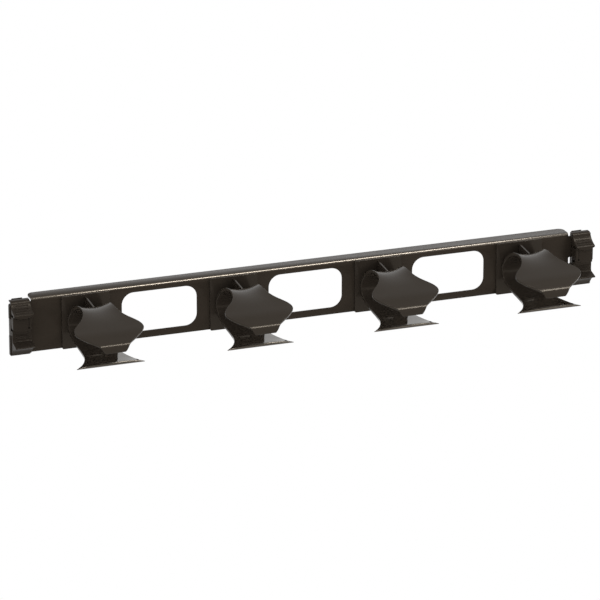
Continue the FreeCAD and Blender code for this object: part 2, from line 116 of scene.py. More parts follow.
class FinishColours(bpy.types.PropertyGroup):
    """Colours of the finishes."""
    steel: colour("Powder coat", "Satin black powder coat of the panel", "#39322b")
    hook: colour("Hook plastic", "Moulded nylon of the hooks", "#342e28")
    latch: colour("Latch plastic", "Moulded acetal of the latches", "#332d27")
    screw: colour("Screw steel", "Black oxide on the screws", "#2c2b29")
    spring: colour("Spring steel", "Bright drawn wire", "#b4b2ac")


# ---------------------------------------------------------------- nodes and materials

def add_node(tree, kind, settings=(), **inputs):
    """Adds a node with its settings. An input holds a constant or the socket that feeds it."""
    node = tree.nodes.new(kind)
    for key, value in dict(settings).items():
        setattr(node, key, value)
    for key, value in inputs.items():
        matches = [s for s in node.inputs if s.identifier == key or s.name.replace(" ", "_") == key]
        socket = next((s for s in matches if s.enabled), matches[0])
        if isinstance(value, bpy.types.NodeSocket):
            tree.links.new(value, socket)
        else:
            socket.default_value = value
    return node


WARM_GLOSS = (1.0, 0.88, 0.72, 1.0)       # tints the sheen of the black finishes


def new_material(name, base, roughness, metallic, specular):
    """A material with its shader's constants set, and the Object coordinates that its patterns read."""
    material = bpy.data.materials.new(name)
    material.use_nodes = True
    tree = material.node_tree
    tree.nodes.clear()
    shader = add_node(tree, "ShaderNodeBsdfPrincipled", Metallic=metallic, Roughness=roughness)
    shader.inputs["Base Color"].default_value = (*base, 1)
    if not metallic:
        shader.inputs["Specular IOR Level"].default_value = specular
        shader.inputs["Specular Tint"].default_value = WARM_GLOSS
    add_node(tree, "ShaderNodeOutputMaterial", Surface=shader.outputs["BSDF"])
    place = add_node(tree, "ShaderNodeTexCoord").outputs["Object"]
    return material, tree, shader, place


def shade(base, factor):
    return (*[min(1.0, channel * factor) for channel in base], 1)


def mottled(tree, shader, place, base, size, spread):
    """Lets the colour drift a little over a size in metres."""
    cloud = add_node(tree, "ShaderNodeTexNoise", Vector=place, Scale=1 / size, Detail=3.0, Roughness=0.55)
    drift = add_node(tree, "ShaderNodeMix", {"data_type": "RGBA"}, Factor_Float=cloud.outputs["Fac"],
                     A_Color=shade(base, 1 - spread), B_Color=shade(base, 1 + spread))
    tree.links.new(drift.outputs[2], shader.inputs["Base Color"])


def grained(tree, shader, place, size, height, low, high):
    """Raises a grain of a size and height in metres, and lets the roughness follow it between two values.
    Returns the sockets of the roughness and of the normal."""
    grain = add_node(tree, "ShaderNodeTexNoise", Vector=place, Scale=1 / size, Detail=2.0, Roughness=0.5)
    rough = add_node(tree, "ShaderNodeMapRange", Value=grain.outputs["Fac"], From_Min=0.3, From_Max=0.7,
                     To_Min=low, To_Max=high)
    tree.links.new(rough.outputs["Result"], shader.inputs["Roughness"])
    bump = add_node(tree, "ShaderNodeBump", Height=grain.outputs["Fac"], Strength=1.0, Distance=height)
    tree.links.new(bump.outputs["Normal"], shader.inputs["Normal"])
    return rough.outputs["Result"], bump.outputs["Normal"]


def region(tree, place, depths, heights):
    """One where Y and Z are both past the second of their two values, fading to zero at the first."""
    at = add_node(tree, "ShaderNodeSeparateXYZ", Vector=place)
    deep = add_node(tree, "ShaderNodeMapRange", Value=at.outputs["Y"], From_Min=depths[0],
                    From_Max=depths[1])
    high = add_node(tree, "ShaderNodeMapRange", Value=at.outputs["Z"], From_Min=heights[0],
                    From_Max=heights[1])
    both = add_node(tree, "ShaderNodeMath", {"operation": "MULTIPLY"}, Value=deep.outputs["Result"],
                    Value_001=high.outputs["Result"])
    return both.outputs["Value"]


def specular_over(tree, shader, mask, low, high):
    """Lets the specular level rise from low to high over a mask."""
    level = add_node(tree, "ShaderNodeMapRange", Value=mask, To_Min=low, To_Max=high)
    tree.links.new(level.outputs["Result"], shader.inputs["Specular IOR Level"])


COAT_SPECULAR = 0.05                                 # of the flat powder coat, and round the fold
FOLD_SPECULAR = 1.0
FOLD_DEPTHS = (FACE_Y + 1.6 * MM, FACE_Y + 1.0 * MM)
FOLD_HEIGHTS = (20.0 * MM, 20.6 * MM)


def powder_coat(base):
    # Polyester powder coat, sprayed and baked: a satin film with a fine orange peel. The peel's waves are
    # about 1 mm in the real film, drawn at 1.6 mm so that they still show. The film flows out glossier
    # round the fold, so that the panel's upper edge catches one thin line of light.
    material, tree, shader, place = new_material("satin_powder_coat", base, 0.2, 0.0, COAT_SPECULAR)
    fold = region(tree, place, FOLD_DEPTHS, FOLD_HEIGHTS)
    specular_over(tree, shader, fold, COAT_SPECULAR, FOLD_SPECULAR)
    mottled(tree, shader, place, base, 30 * MM, 0.06)
    grained(tree, shader, place, 1.6 * MM, 0.008 * MM, 0.17, 0.23)
    return material


NYLON_SPECULAR = 0.15                                # of the hooks, and of their polished lips
LIP_SPECULAR = 0.6
LIP_POLISH = 0.14                                    # how much smoother the lips are
LIP_LEAN = (0.12, 0.04, 0.0)                         # of the lips' sheen, right and a little to the rear
LIP_DEPTHS = (FACE_Y - 38.0 * MM, FACE_Y - 44.0 * MM)
LIP_HEIGHTS = (-12.0 * MM, -12.5 * MM)


def moulded_nylon(base):
    # Nylon from a spark-eroded mould: soft satin, with a fine matt grain of about 0.6 mm, drawn at 1 mm,
    # and a slight drift of tone where the melt flowed. The lips, which the cables rub, are polished, and
    # their sheen leans a little to the right, so that a lip beside a window mirrors it as a pale patch.
    material, tree, shader, place = new_material("moulded_black_nylon", base, 0.2, 0.0, NYLON_SPECULAR)
    mottled(tree, shader, place, base, 18 * MM, 0.08)
    rough, normal = grained(tree, shader, place, 1.0 * MM, 0.004 * MM, 0.17, 0.23)
    lip = region(tree, place, LIP_DEPTHS, LIP_HEIGHTS)
    specular_over(tree, shader, lip, NYLON_SPECULAR, LIP_SPECULAR)
    polished = add_node(tree, "ShaderNodeMath", {"operation": "MULTIPLY_ADD"}, Value=lip,
                        Value_001=-LIP_POLISH, Value_002=rough)
    tree.links.new(polished.outputs["Value"], shader.inputs["Roughness"])
    lean = add_node(tree, "ShaderNodeVectorMath", {"operation": "SCALE"}, Vector=LIP_LEAN, Scale=lip)
    leant = add_node(tree, "ShaderNodeVectorMath", {"operation": "ADD"}, Vector=normal,
                     Vector_001=lean.outputs["Vector"])
    unit = add_node(tree, "ShaderNodeVectorMath", {"operation": "NORMALIZE"}, Vector=leant.outputs["Vector"])
    tree.links.new(unit.outputs["Vector"], shader.inputs["Normal"])
    return material


def moulded_acetal(base):
    # Acetal from a finely blasted mould: duller than the hooks, with a fine even grain, so that the pads
    # read as plain dark shapes and only their ribs and edges show.
    material, tree, shader, place = new_material("moulded_black_acetal", base, 0.3, 0.0, 0.05)
    mottled(tree, shader, place, base, 12 * MM, 0.06)
    grained(tree, shader, place, 0.9 * MM, 0.006 * MM, 0.24, 0.32)
    return material


def black_oxide_steel(base):
    # Turned steel with a black oxide finish: dark metal with a soft sheen, a little patchy where the oxide
    # took unevenly.
    material, tree, shader, place = new_material("black_oxide_steel", base, 0.38, 1.0, 0.5)
    mottled(tree, shader, place, base, 3 * MM, 0.15)
    grained(tree, shader, place, 0.5 * MM, 0.01 * MM, 0.3, 0.46)
    return material


def drawn_spring_wire(base):
    # Drawn spring steel: bright wire, scuffed by the die, so that its gloss varies over each turn.
    material, tree, shader, place = new_material("drawn_spring_wire", base, 0.28, 1.0, 0.5)
    mottled(tree, shader, place, base, 1.5 * MM, 0.08)
    grained(tree, shader, place, 0.3 * MM, 0.004 * MM, 0.22, 0.34)
    return material


FINISHES = {
    "powder_coated_steel": (powder_coat, "steel"),
    "hook_plastic": (moulded_nylon, "hook"),
    "latch_plastic": (moulded_acetal, "latch"),
    "black_screw_steel": (black_oxide_steel, "screw"),
    "spring_steel": (drawn_spring_wire, "spring"),
}


def finish(slot):
    """The material of a slot of the record, made at its first use."""
    make, key = FINISHES[slot]
    marked = [m for m in bpy.data.materials if m.get("slot") == slot]
    if marked:
        return marked[0]
    material = make(tuple(getattr(bpy.context.scene.manager_colours, key)))
    material["slot"] = slot
    return material


# ---------------------------------------------------------------- meshes

def object_from(bm, name, slot):
    """Turns a bmesh into an object at the origin, with its finish."""
    mesh = bpy.data.meshes.new(name)
    bm.to_mesh(mesh)
    bm.free()
    mesh.materials.clear()
    mesh.materials.append(finish(slot))
    piece = bpy.data.objects.new(name, mesh)
    bpy.context.collection.objects.link(piece)
    return piece


def soften(piece, radius, segments=2, angle=35):
    """Rounds the sharp edges, keeps the flat faces flat, and ends with triangles."""
    piece.data.shade_smooth()
    bevel = piece.modifiers.new("rounded edges", "BEVEL")
    bevel.width = radius
    bevel.segments = segments
    bevel.limit_method = "ANGLE"
    bevel.angle_limit = math.radians(angle)
    bevel.use_clamp_overlap = False
    bevel.harden_normals = True
    triangles = piece.modifiers.new("triangles", "TRIANGULATE")
    triangles.keep_custom_normals = True


def plain_mesh(piece):
    """Replaces an object's mesh by its evaluated one, and takes the modifiers off."""
    evaluated = piece.evaluated_get(bpy.context.evaluated_depsgraph_get())
    mesh = bpy.data.meshes.new_from_object(evaluated)
    piece.modifiers.clear()
    piece.data = mesh
    return piece


def join(first, *others):
    """Joins plain pieces into the first one."""
    bm = bmesh.new()
    for piece in (first, *others):
        bm.from_mesh(piece.data)
    bm.to_mesh(first.data)
    bm.free()
    for piece in others:
        bpy.data.objects.remove(piece)
    return first


def hand_over(piece, body, slot, *nodes):
    """Hands a finished piece to the frame."""
    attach(piece, body)
    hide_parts(*nodes)


WELD = 0.001 * MM
FLAT = math.radians(0.5)                  # faces within this angle count as one plane


def merged_node(node):
    """A closed copy of a CAD node with its flat faces merged."""
    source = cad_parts[node]
    bm = bmesh.new()
    bm.from_mesh(source.data)
    bm.transform(source.matrix_world)
    bmesh.ops.remove_doubles(bm, verts=bm.verts, dist=WELD)
    bmesh.ops.dissolve_limit(bm, angle_limit=FLAT, verts=bm.verts, edges=bm.edges)
    return bm


def walls(bm, rings):
    """Adds the faces between closed rings of vertices, one after the other."""
    faces = []
    for low, high in zip(rings, rings[1:]):
        for i, corner in enumerate(low):
            j = (i + 1) % len(low)
            faces.append(bm.faces.new((corner, low[j], high[j], high[i])))
    return faces


def prism(bm, outline, axis, start, end, steps=1):
    """Adds a closed prism over an outline, in steps along an axis: points are (forward, up) along X,
    (across, up) along Y and (across, forward) along Z, in millimetres."""
    def at(point, along):
        first, second = point
        if axis == "X":
            return Vector((along * MM, FACE_Y - first * MM, second * MM))
        if axis == "Y":
            return Vector((first * MM, FACE_Y + along * MM, second * MM))
        return Vector((first * MM, FACE_Y - second * MM, along * MM))

    rings = []
    for step in range(steps + 1):
        along = start + (end - start) * step / steps
        rings.append([bm.verts.new(at(point, along)) for point in outline])
    faces = [bm.faces.new(rings[0]), bm.faces.new(rings[-1])]
    faces += walls(bm, rings)
    bmesh.ops.recalc_face_normals(bm, faces=faces)
    return [vert for ring in rings for vert in ring]


CORNER_STEPS = 6


def rounded_outline(x0, x1, z0, z1, radius):
    """Rectangle with round corners."""
    points = []
    for cx, cz, turn in ((x1 - radius, z1 - radius, 0), (x0 + radius, z1 - radius, 1),
                         (x0 + radius, z0 + radius, 2), (x1 - radius, z0 + radius, 3)):
        for step in range(CORNER_STEPS + 1):
            angle = math.pi / 2 * (turn + step / CORNER_STEPS)
            points.append((cx + radius * math.cos(angle), cz + radius * math.sin(angle)))
    return points


def circle(x, z, radius, steps=32):
    angles = [2 * math.pi * i / steps for i in range(steps)]
    return [(x + radius * math.cos(angle), z + radius * math.sin(angle)) for angle in angles]


# ---------------------------------------------------------------- geometry nodes

def new_tree(name, *sockets):
    """A Geometry Nodes tree with named inputs. Each is (name, socket type)."""
    tree = bpy.data.node_groups.new(name, "GeometryNodeTree")
    tree.interface.new_socket("Geometry", in_out="INPUT", socket_type="NodeSocketGeometry")
    for label, kind in sockets:
        tree.interface.new_socket(label, in_out="INPUT", socket_type=kind)
    tree.interface.new_socket("Geometry", in_out="OUTPUT", socket_type="NodeSocketGeometry")
    return tree, tree.nodes.new("NodeGroupInput").outputs


def end_tree(tree, geometry, material):
    """Realizes the instances, gives them their material and closes the tree."""
    real = add_node(tree, "GeometryNodeRealizeInstances", Geometry=geometry)
    finished = add_node(tree, "GeometryNodeSetMaterial", Geometry=real.outputs["Geometry"],
                        Material=material)
    add_node(tree, "NodeGroupOutput", Geometry=finished.outputs["Geometry"])
    return tree


def grow(name, tree, slot, values, points):
    """Runs a tree over some points with its named inputs, and returns the plain mesh object."""
    bm = bmesh.new()
    for point in points:
        bm.verts.new(point)
    piece = object_from(bm, name, slot)
    modifier = piece.modifiers.new(tree.name, "NODES")
    modifier.node_group = tree
    values = dict(values, Material=finish(slot))
    for item in tree.interface.items_tree:
        if item.in_out == "INPUT" and item.name in values:
            modifier[item.identifier] = values[item.name]
    return plain_mesh(piece)


def rib_tree():
    """A half-round rib along X, with tapered ends, in the middle of each point."""
    tree, given = new_tree("grip_ribs", ("Length", "NodeSocketFloat"), ("Radius", "NodeSocketFloat"),
                           ("Material", "NodeSocketMaterial"))
    half = add_node(tree, "ShaderNodeMath", {"operation": "MULTIPLY"}, Value=given["Length"],
                    Value_001=0.5)
    end = add_node(tree, "ShaderNodeCombineXYZ", X=half.outputs["Value"])
    start = add_node(tree, "ShaderNodeVectorMath", {"operation": "SCALE"}, Vector=end.outputs["Vector"],
                     Scale=-1.0)
    line = add_node(tree, "GeometryNodeCurvePrimitiveLine", Start=start.outputs["Vector"],
                    End=end.outputs["Vector"])
    fine = add_node(tree, "GeometryNodeResampleCurve", Curve=line.outputs["Curve"], Count=40)
    along = add_node(tree, "GeometryNodeSplineParameter")
    centred = add_node(tree, "ShaderNodeMath", {"operation": "MULTIPLY_ADD"},
                       Value=along.outputs["Factor"], Value_001=2.0, Value_002=-1.0)
    away = add_node(tree, "ShaderNodeMath", {"operation": "ABSOLUTE"}, Value=centred.outputs["Value"])
    steep = add_node(tree, "ShaderNodeMath", {"operation": "POWER"}, Value=away.outputs["Value"],
                     Value_001=16.0)
    left = add_node(tree, "ShaderNodeMath", {"operation": "SUBTRACT"}, Value=1.0,
                    Value_001=steep.outputs["Value"])
    round_end = add_node(tree, "ShaderNodeMath", {"operation": "SQRT"}, Value=left.outputs["Value"])
    thick = add_node(tree, "ShaderNodeMath", {"operation": "MAXIMUM"}, Value=round_end.outputs["Value"],
                     Value_001=0.05)
    tapered = add_node(tree, "GeometryNodeSetCurveRadius", Curve=fine.outputs["Curve"],
                       Radius=thick.outputs["Value"])
    profile = add_node(tree, "GeometryNodeCurvePrimitiveCircle", Resolution=16, Radius=given["Radius"])
    rib = add_node(tree, "GeometryNodeCurveToMesh", Curve=tapered.outputs["Curve"],
                   Profile_Curve=profile.outputs["Curve"], Fill_Caps=True)
    ribs = add_node(tree, "GeometryNodeInstanceOnPoints", Points=given["Geometry"],
                    Instance=rib.outputs["Mesh"])
    return end_tree(tree, ribs.outputs["Instances"], given["Material"])


def spring_tree():
    """A coil of round wire standing on each point."""
    tree, given = new_tree("coil_springs", ("Turns", "NodeSocketFloat"), ("Coil Radius", "NodeSocketFloat"),
                           ("Wire Radius", "NodeSocketFloat"), ("Height", "NodeSocketFloat"),
                           ("Material", "NodeSocketMaterial"))
    helix = add_node(tree, "GeometryNodeCurveSpiral", Resolution=20, Rotations=given["Turns"],
                     Start_Radius=given["Coil Radius"], End_Radius=given["Coil Radius"],
                     Height=given["Height"])
    profile = add_node(tree, "GeometryNodeCurvePrimitiveCircle", Resolution=10,
                       Radius=given["Wire Radius"])
    wire = add_node(tree, "GeometryNodeCurveToMesh", Curve=helix.outputs["Curve"],
                    Profile_Curve=profile.outputs["Curve"], Fill_Caps=True)
    coils = add_node(tree, "GeometryNodeInstanceOnPoints", Points=given["Geometry"],
                     Instance=wire.outputs["Mesh"])
    return end_tree(tree, coils.outputs["Instances"], given["Material"])


def screw_tree():
    """The same screw on each point."""
    tree, given = new_tree("placed_screws", ("Screw", "NodeSocketObject"),
                           ("Material", "NodeSocketMaterial"))
    screw = add_node(tree, "GeometryNodeObjectInfo", Object=given["Screw"])
    screws = add_node(tree, "GeometryNodeInstanceOnPoints", Points=given["Geometry"],
                      Instance=screw.outputs["Geometry"])
    return end_tree(tree, screws.outputs["Instances"], given["Material"])


# ---------------------------------------------------------------- hook band

# Stations along the middle of the band, from the leaf's lower edge over the crest, down the rear wall and
# out along the arm to the lip, in millimetres: forward, up, half width, curl of both edges away from the
# ring, and how far the inner skin closes on the outer one at the edges.
BAND_STATIONS = (
    (74.5, -2.0, 8.2, 0.0, 0.1),
    (74.6, 1.0, 10.3, 0.0, 0.1),
    (74.1, 2.6, 11.5, 0.0, 0.1),
    (72.8, 3.9, 13.4, 0.0, 0.1),
    (69.4, 5.9, 18.6, 0.0, 0.2),
    (65.4, 8.2, 24.0, 0.0, 0.3),
    (62.0, 9.7, 26.7, 0.0, 0.4),
    (58.4, 11.0, 27.1, 0.0, 0.4),
    (54.0, 12.5, 24.8, 0.2, 0.3),
    (48.0, 14.3, 19.2, 0.6, 0.2),
    (41.0, 15.8, 14.8, 1.2, 0.1),
    (33.5, 16.6, 13.1, 2.0, 0.1),
    (26.0, 16.1, 13.0, 2.5, 0.1),
    (18.8, 14.0, 13.5, 2.5, 0.1),
    (12.0, 10.6, 14.2, 1.9, 0.1),
    (6.2, 6.2, 14.8, 0.8, 0.1),
    (3.0, 1.4, 15.1, 0.2, 0.1),
    (2.8, -3.8, 14.9, 0.0, 0.1),
    (5.2, -8.2, 14.6, 0.0, 0.1),
    (11.6, -11.4, 14.1, 0.0, 0.1),
    (19.5, -13.6, 13.7, 0.0, 0.1),
    (29.0, -14.7, 13.7, 0.0, 0.1),
    (38.5, -15.1, 14.4, 0.0, 0.1),
    (47.0, -15.2, 15.9, 0.0, 0.1),
    (54.0, -15.3, 18.6, 0.0, 0.2),
    (59.4, -15.3, 22.4, 0.0, 0.5),
    (63.4, -15.3, 27.0, 0.0, 0.8),
)
WEB_OUTLINE = ((1.0, 1.5), (1.0, 18.6), (22.0, 16.8), (22.0, 15.4), (18.8, 14.0), (12.0, 10.6), (6.2, 6.2))
BASE_HALF, BASE_LOW, BASE_HIGH, BASE_CORNER = 19.35, -22.3, 20.4, 1.2
SCREW_UP = 13.0              # of the screws and their bosses, above and below the middle
BOSS_RADIUS = 3.5
BOSS_RISE = 1.4              # behind the base plate
ROWS = 7                     # rows of the band between two stations
COLUMNS = 14                 # columns of a skin from its middle to an edge
SKIN = 2 * COLUMNS + 1       # points across a skin
ARC = 4                      # steps round an edge
NEARBY = 0.05                # half the stretch over which the band's direction is read
FINEST_EDGE = 0.01
HALF_WALL = 0.49             # the largest edge radius, as a share of the wall
TIP_EDGE, TIP_INSET = 0.25, 0.2      # rounding at the thin front of the lip


def through(knots, rows, wanted):
    """Natural cubic spline through rows at the knots, read at the wanted places."""
    count = len(knots)
    gaps = np.diff(knots)
    system = np.eye(count)
    right = np.zeros(rows.shape)
    for i in range(1, count - 1):
        system[i, i - 1:i + 2] = gaps[i - 1], 2 * (gaps[i - 1] + gaps[i]), gaps[i]
        right[i] = 6 * ((rows[i + 1] - rows[i]) / gaps[i] - (rows[i] - rows[i - 1]) / gaps[i - 1])
    bend = np.linalg.solve(system, right)
    spot = np.clip(np.searchsorted(knots, wanted, side="right") - 1, 0, count - 2)
    gap = gaps[spot][:, None]
    after = (wanted - knots[spot])[:, None] / gap
    before = 1 - after
    return (before * rows[spot] + after * rows[spot + 1]
            + gap ** 2 / 6 * ((before ** 3 - before) * bend[spot] + (after ** 3 - after) * bend[spot + 1]))


def band_rows():
    """Finely spaced stations and the direction of the band at each."""
    stations = np.array(BAND_STATIONS)
    runs = np.hypot(*np.diff(stations[:, :2], axis=0).T)
    knots = np.concatenate(([0.0], np.cumsum(runs)))
    wanted = np.concatenate([np.linspace(a, b, ROWS, endpoint=False) for a, b in zip(knots, knots[1:])]
                            + [knots[-1:]])
    fine = through(knots, stations, wanted)
    ahead = through(knots, stations, np.clip(wanted + NEARBY, 0, knots[-1]))
    behind = through(knots, stations, np.clip(wanted - NEARBY, 0, knots[-1]))
    along = (ahead - behind)[:, :2]
    along /= np.linalg.norm(along, axis=1)[:, None]
    return fine, along


def band_loop(row, along, thick, edge, inset, shift):
    """Closed cross-section of the band: outer skin, round edge, inner skin, round edge. The skins are drawn
    in by the inset, and the section is shifted along the band."""
    forward, up, half, curl, closing = row
    normal = Vector((0, -along[1], -along[0]))
    middle = Vector((0, -forward, up)) + Vector((0, -along[0], along[1])) * shift
    half -= inset

    def skin(t, side):
        rise = side * thick / 2 + curl * t * t
        if side < 0:
            rise += thick * closing * t ** 4
        return middle + Vector((half * t, 0, 0)) + normal * (rise - side * inset)

    last = thick * (1 - closing) - 2 * inset
    radius = max(FINEST_EDGE, min(edge - inset / 2, last * HALF_WALL))
    reach = 1 - radius / half
    spread = [math.sin(math.pi / 2 * i / COLUMNS) * reach for i in range(-COLUMNS, COLUMNS + 1)]
    outer = [skin(t, 1) for t in spread]
    inner = [skin(t, -1) for t in reversed(spread)]

    def turned(t, first, second):
        """Points round one edge, from skin first to skin second."""
        out = Vector((math.copysign(radius, t), 0, 0))
        deep = skin(t, second) - skin(t, first)
        deep *= radius / max(deep.length, radius)
        points = []
        for base, towards in ((skin(t, first), deep), (skin(t, second), -deep)):
            part = []
            for i in range(1, ARC + 1):
                angle = math.pi / 2 * i / ARC
                part.append(base + out * math.sin(angle) + towards * (1 - math.cos(angle)))
            points.append(part)
        return points[0] + points[1][::-1]

    return outer + turned(reach, 1, -1) + inner + turned(-reach, -1, 1)


def end_steps(edge):
    """Insets and setbacks of the sections that round an end of the band, from the end inwards."""
    angles = [math.pi / 2 * i / ARC for i in range(ARC)]
    return [(edge * (1 - math.sin(angle)), edge * (1 - math.cos(angle))) for angle in angles]


def close_end(bm, ring):
    """Closes the first or last section of the band: strips between the skins, and one face at each edge."""
    rim = 2 * ARC
    outer = ring[:SKIN]
    inner = ring[SKIN + rim:2 * SKIN + rim][::-1]
    faces = [bm.faces.new((outer[i], outer[i + 1], inner[i + 1], inner[i])) for i in range(SKIN - 1)]
    faces.append(bm.faces.new(ring[SKIN - 1:SKIN + rim + 1]))
    faces.append(bm.faces.new(ring[2 * SKIN + rim - 1:] + ring[:1]))
    return faces


def add_band(bm, thick, edge):
    """Adds the band with round edges all along its rim."""
    fine, along = band_rows()
    loops = []
    for inset, back in end_steps(edge):
        loops.append(band_loop(fine[0], along[0], thick, edge, inset, back))
    for row, way in zip(fine[1:-1], along[1:-1]):
        loops.append(band_loop(row, way, thick, edge, 0.0, 0.0))
    for inset, back in reversed(end_steps(edge)):
        loops.append(band_loop(fine[-1], along[-1], thick, min(edge, TIP_EDGE), min(inset, TIP_INSET), -back))
    rings = [[bm.verts.new(point * MM + Vector((0, FACE_Y, 0))) for point in loop] for loop in loops]
    faces = walls(bm, rings) + close_end(bm, rings[0]) + close_end(bm, rings[-1])
    bmesh.ops.recalc_face_normals(bm, faces=faces)


def build_hook():
    """One cable hook at X = 0 as a plain mesh object."""
    sizes = bpy.context.scene.manager_hook
    bm = bmesh.new()
    plate = sizes.plate / MM
    web = sizes.web / MM
    prism(bm, rounded_outline(-BASE_HALF, BASE_HALF, BASE_LOW, BASE_HIGH, BASE_CORNER), "Y", -plate, 0)
    prism(bm, WEB_OUTLINE, "X", -web / 2, web / 2)
    for side in (-1, 1):
        prism(bm, circle(0, side * SCREW_UP, BOSS_RADIUS), "Y", -plate / 2, BOSS_RISE)
    hook = object_from(bm, "hook_base", "hook_plastic")
    soften(hook, sizes.edge / 2, angle=25)
    plain_mesh(hook)
    bm = bmesh.new()
    add_band(bm, sizes.thickness / MM, sizes.edge / MM)
    band = object_from(bm, "hook_band", "hook_plastic")
    band.data.shade_smooth()
    return join(hook, band)


# ---------------------------------------------------------------- operators

class MANAGER_OT_panel(bpy.types.Operator):
    """Folded steel panel with softened edges, in powder coat"""
    bl_idname = "manager.panel"
    bl_label = "Panel"

    def execute(self, context):
        panel = object_from(merged_node("panel"), "folded_panel", "powder_coated_steel")
        soften(panel, 0.25 * MM)
        hand_over(panel, "frame", "powder_coated_steel", "panel")
        return {"FINISHED"}


class MANAGER_OT_hooks(bpy.types.Operator):
    """Four moulded cable hooks"""
    bl_idname = "manager.hooks"
    bl_label = "Cable hooks"

    def execute(self, context):
        pattern = build_hook()
        for number, x in enumerate(HOOKS, 1):
            hook = bpy.data.objects.new("moulded_hook_%d" % number, pattern.data.copy())
            hook.data.transform(Matrix.Translation((x, 0, 0)))
            context.collection.objects.link(hook)
            hand_over(hook, "frame", "hook_plastic", "cable_hook_%d" % number)
        bpy.data.objects.remove(pattern)
        return {"FINISHED"}


class MANAGER_OT_housings(bpy.types.Operator):
    """Spring boxes and backplates of the latches"""
    bl_idname = "manager.housings"
    bl_label = "Latch housings"

    def execute(self, context):
        sizes = context.scene.manager_latch
        for side in SIDES:
            for part in ("housing", "backplate"):
                node = "%s_latch_%s" % (side, part)
                piece = object_from(merged_node(node), "%s_moulded_%s" % (side, part), "latch_plastic")
                soften(piece, sizes.edge * 0.6)
                hand_over(piece, "frame", "latch_plastic", node)
        return {"FINISHED"}


# Outlines of the upper slider, and of the lower one's pad, as (forward, up) in millimetres
BROW = ((2.2, 22.1), (3.7, 21.2), (4.7, 19.6))       # arcs of the upper ramp, by three points
HOLLOW = ((4.7, 19.6), (7.9, 16.3), (12.6, 14.1))
LIP_TIP = (13.5, 13.3)
LIP_UNDERSIDE = ((13.5, 12.7), (10.35, 11.0))
UPPER_BODY = ((10.35, 12.55), (3.85, 12.55), (3.85, 20.95), (-1.4, 20.95), (-1.4, 22.1))
LOWER_RIM = ((3.85, -0.95), (7.2, -0.95))
LOWER_PAD = ((7.0, -8.2), (7.6, -9.5), (11.5, -10.6), (15.0, -11.5), (15.7, -12.0), (15.6, -12.6),
             (11.7, -14.0), (9.0, -15.5), (7.6, -16.9), (5.8, -19.1), (4.9, -20.6), (3.85, -20.95))
FIRST_RIB, RIB_SPAN = 0.12, 0.72                     # of the upper pad's ribs, as shares of the hollow
LOWER_RIBS = ((6.95, -4.6), (6.95, -7.4))            # first and last rib of the lower pad
SAG = 2.2                                            # of the lip and of the lower rim, in the middle
NECK = ((4.5, 13.9), (4.5, 19.4), (-5.7, 19.4), (-5.7, 21.1), (-6.3, 21.1), (-8.9, 17.8), (-8.9, 13.9))
NECK_HALF = 4.3
NECK_MIDDLE = 232.55
LUG = ((-0.15, 13.9), (-0.15, 19.4), (-1.35, 19.4), (-1.35, 13.9))
LUG_HALF = 5.5
PEG_MIDDLES = (229.15, 237.55)                       # across, of the springs and their pegs
SPRING_FORWARD = 5.5
PEG_RADIUS = 0.65
UPPER_PEG = (10.65, 13.0)                            # lower and upper end
LOWER_PEG = (-3.4, -1.0)
POCKET_RADIUS = 1.45                                 # round the foot of a lower spring
POCKET = (-2.95, 8.0)
PAD_SIDES = (225.0, 240.5)
PAD_MIDDLE = sum(PAD_SIDES) / 2
PAD_WIDTH = PAD_SIDES[1] - PAD_SIDES[0]
PAD_STEPS = 16                                       # across a pad
BROW_STEPS = 6
HOLLOW_STEPS = 14
NEAR = 0.02 * MM


def mirrored_outline(outline):
    return [(forward, -up) for forward, up in outline]


def arc_points(start, middle, end, shares):
    """Places on the circle through three places, by their shares of the way from start to end."""
    (ax, ay), (bx, by), (cx, cy) = start, middle, end
    double = 2 * (ax * (by - cy) + bx * (cy - ay) + cx * (ay - by))
    squares = [x * x + y * y for x, y in (start, middle, end)]
    x = (squares[0] * (by - cy) + squares[1] * (cy - ay) + squares[2] * (ay - by)) / double
    y = (squares[0] * (cx - bx) + squares[1] * (ax - cx) + squares[2] * (bx - ax)) / double
    radius = math.hypot(ax - x, ay - y)
    first = math.atan2(ay - y, ax - x)
    turn = math.remainder(math.atan2(cy - y, cx - x) - first, 2 * math.pi)
    return [(x + radius * math.cos(first + turn * t), y + radius * math.sin(first + turn * t))
            for t in shares]


def upper_pad_outline():
    brow = arc_points(*BROW, [i / BROW_STEPS for i in range(BROW_STEPS)])
    hollow = arc_points(*HOLLOW, [i / HOLLOW_STEPS for i in range(HOLLOW_STEPS + 1)])
    return [*brow, *hollow, LIP_TIP, *LIP_UNDERSIDE, *UPPER_BODY]


def hang(verts, sagging):
    """Lets the outline's sagging places hang in the middle of a pad."""
    for vert in verts:
        for forward, up in sagging:
            if abs(FACE_Y - vert.co.y - forward * MM) < NEAR and abs(vert.co.z - up * MM) < NEAR:
                t = 2 * (vert.co.x / MM - PAD_SIDES[0]) / PAD_WIDTH - 1
                vert.co.z -= SAG * MM * (1 - t * t)
                break


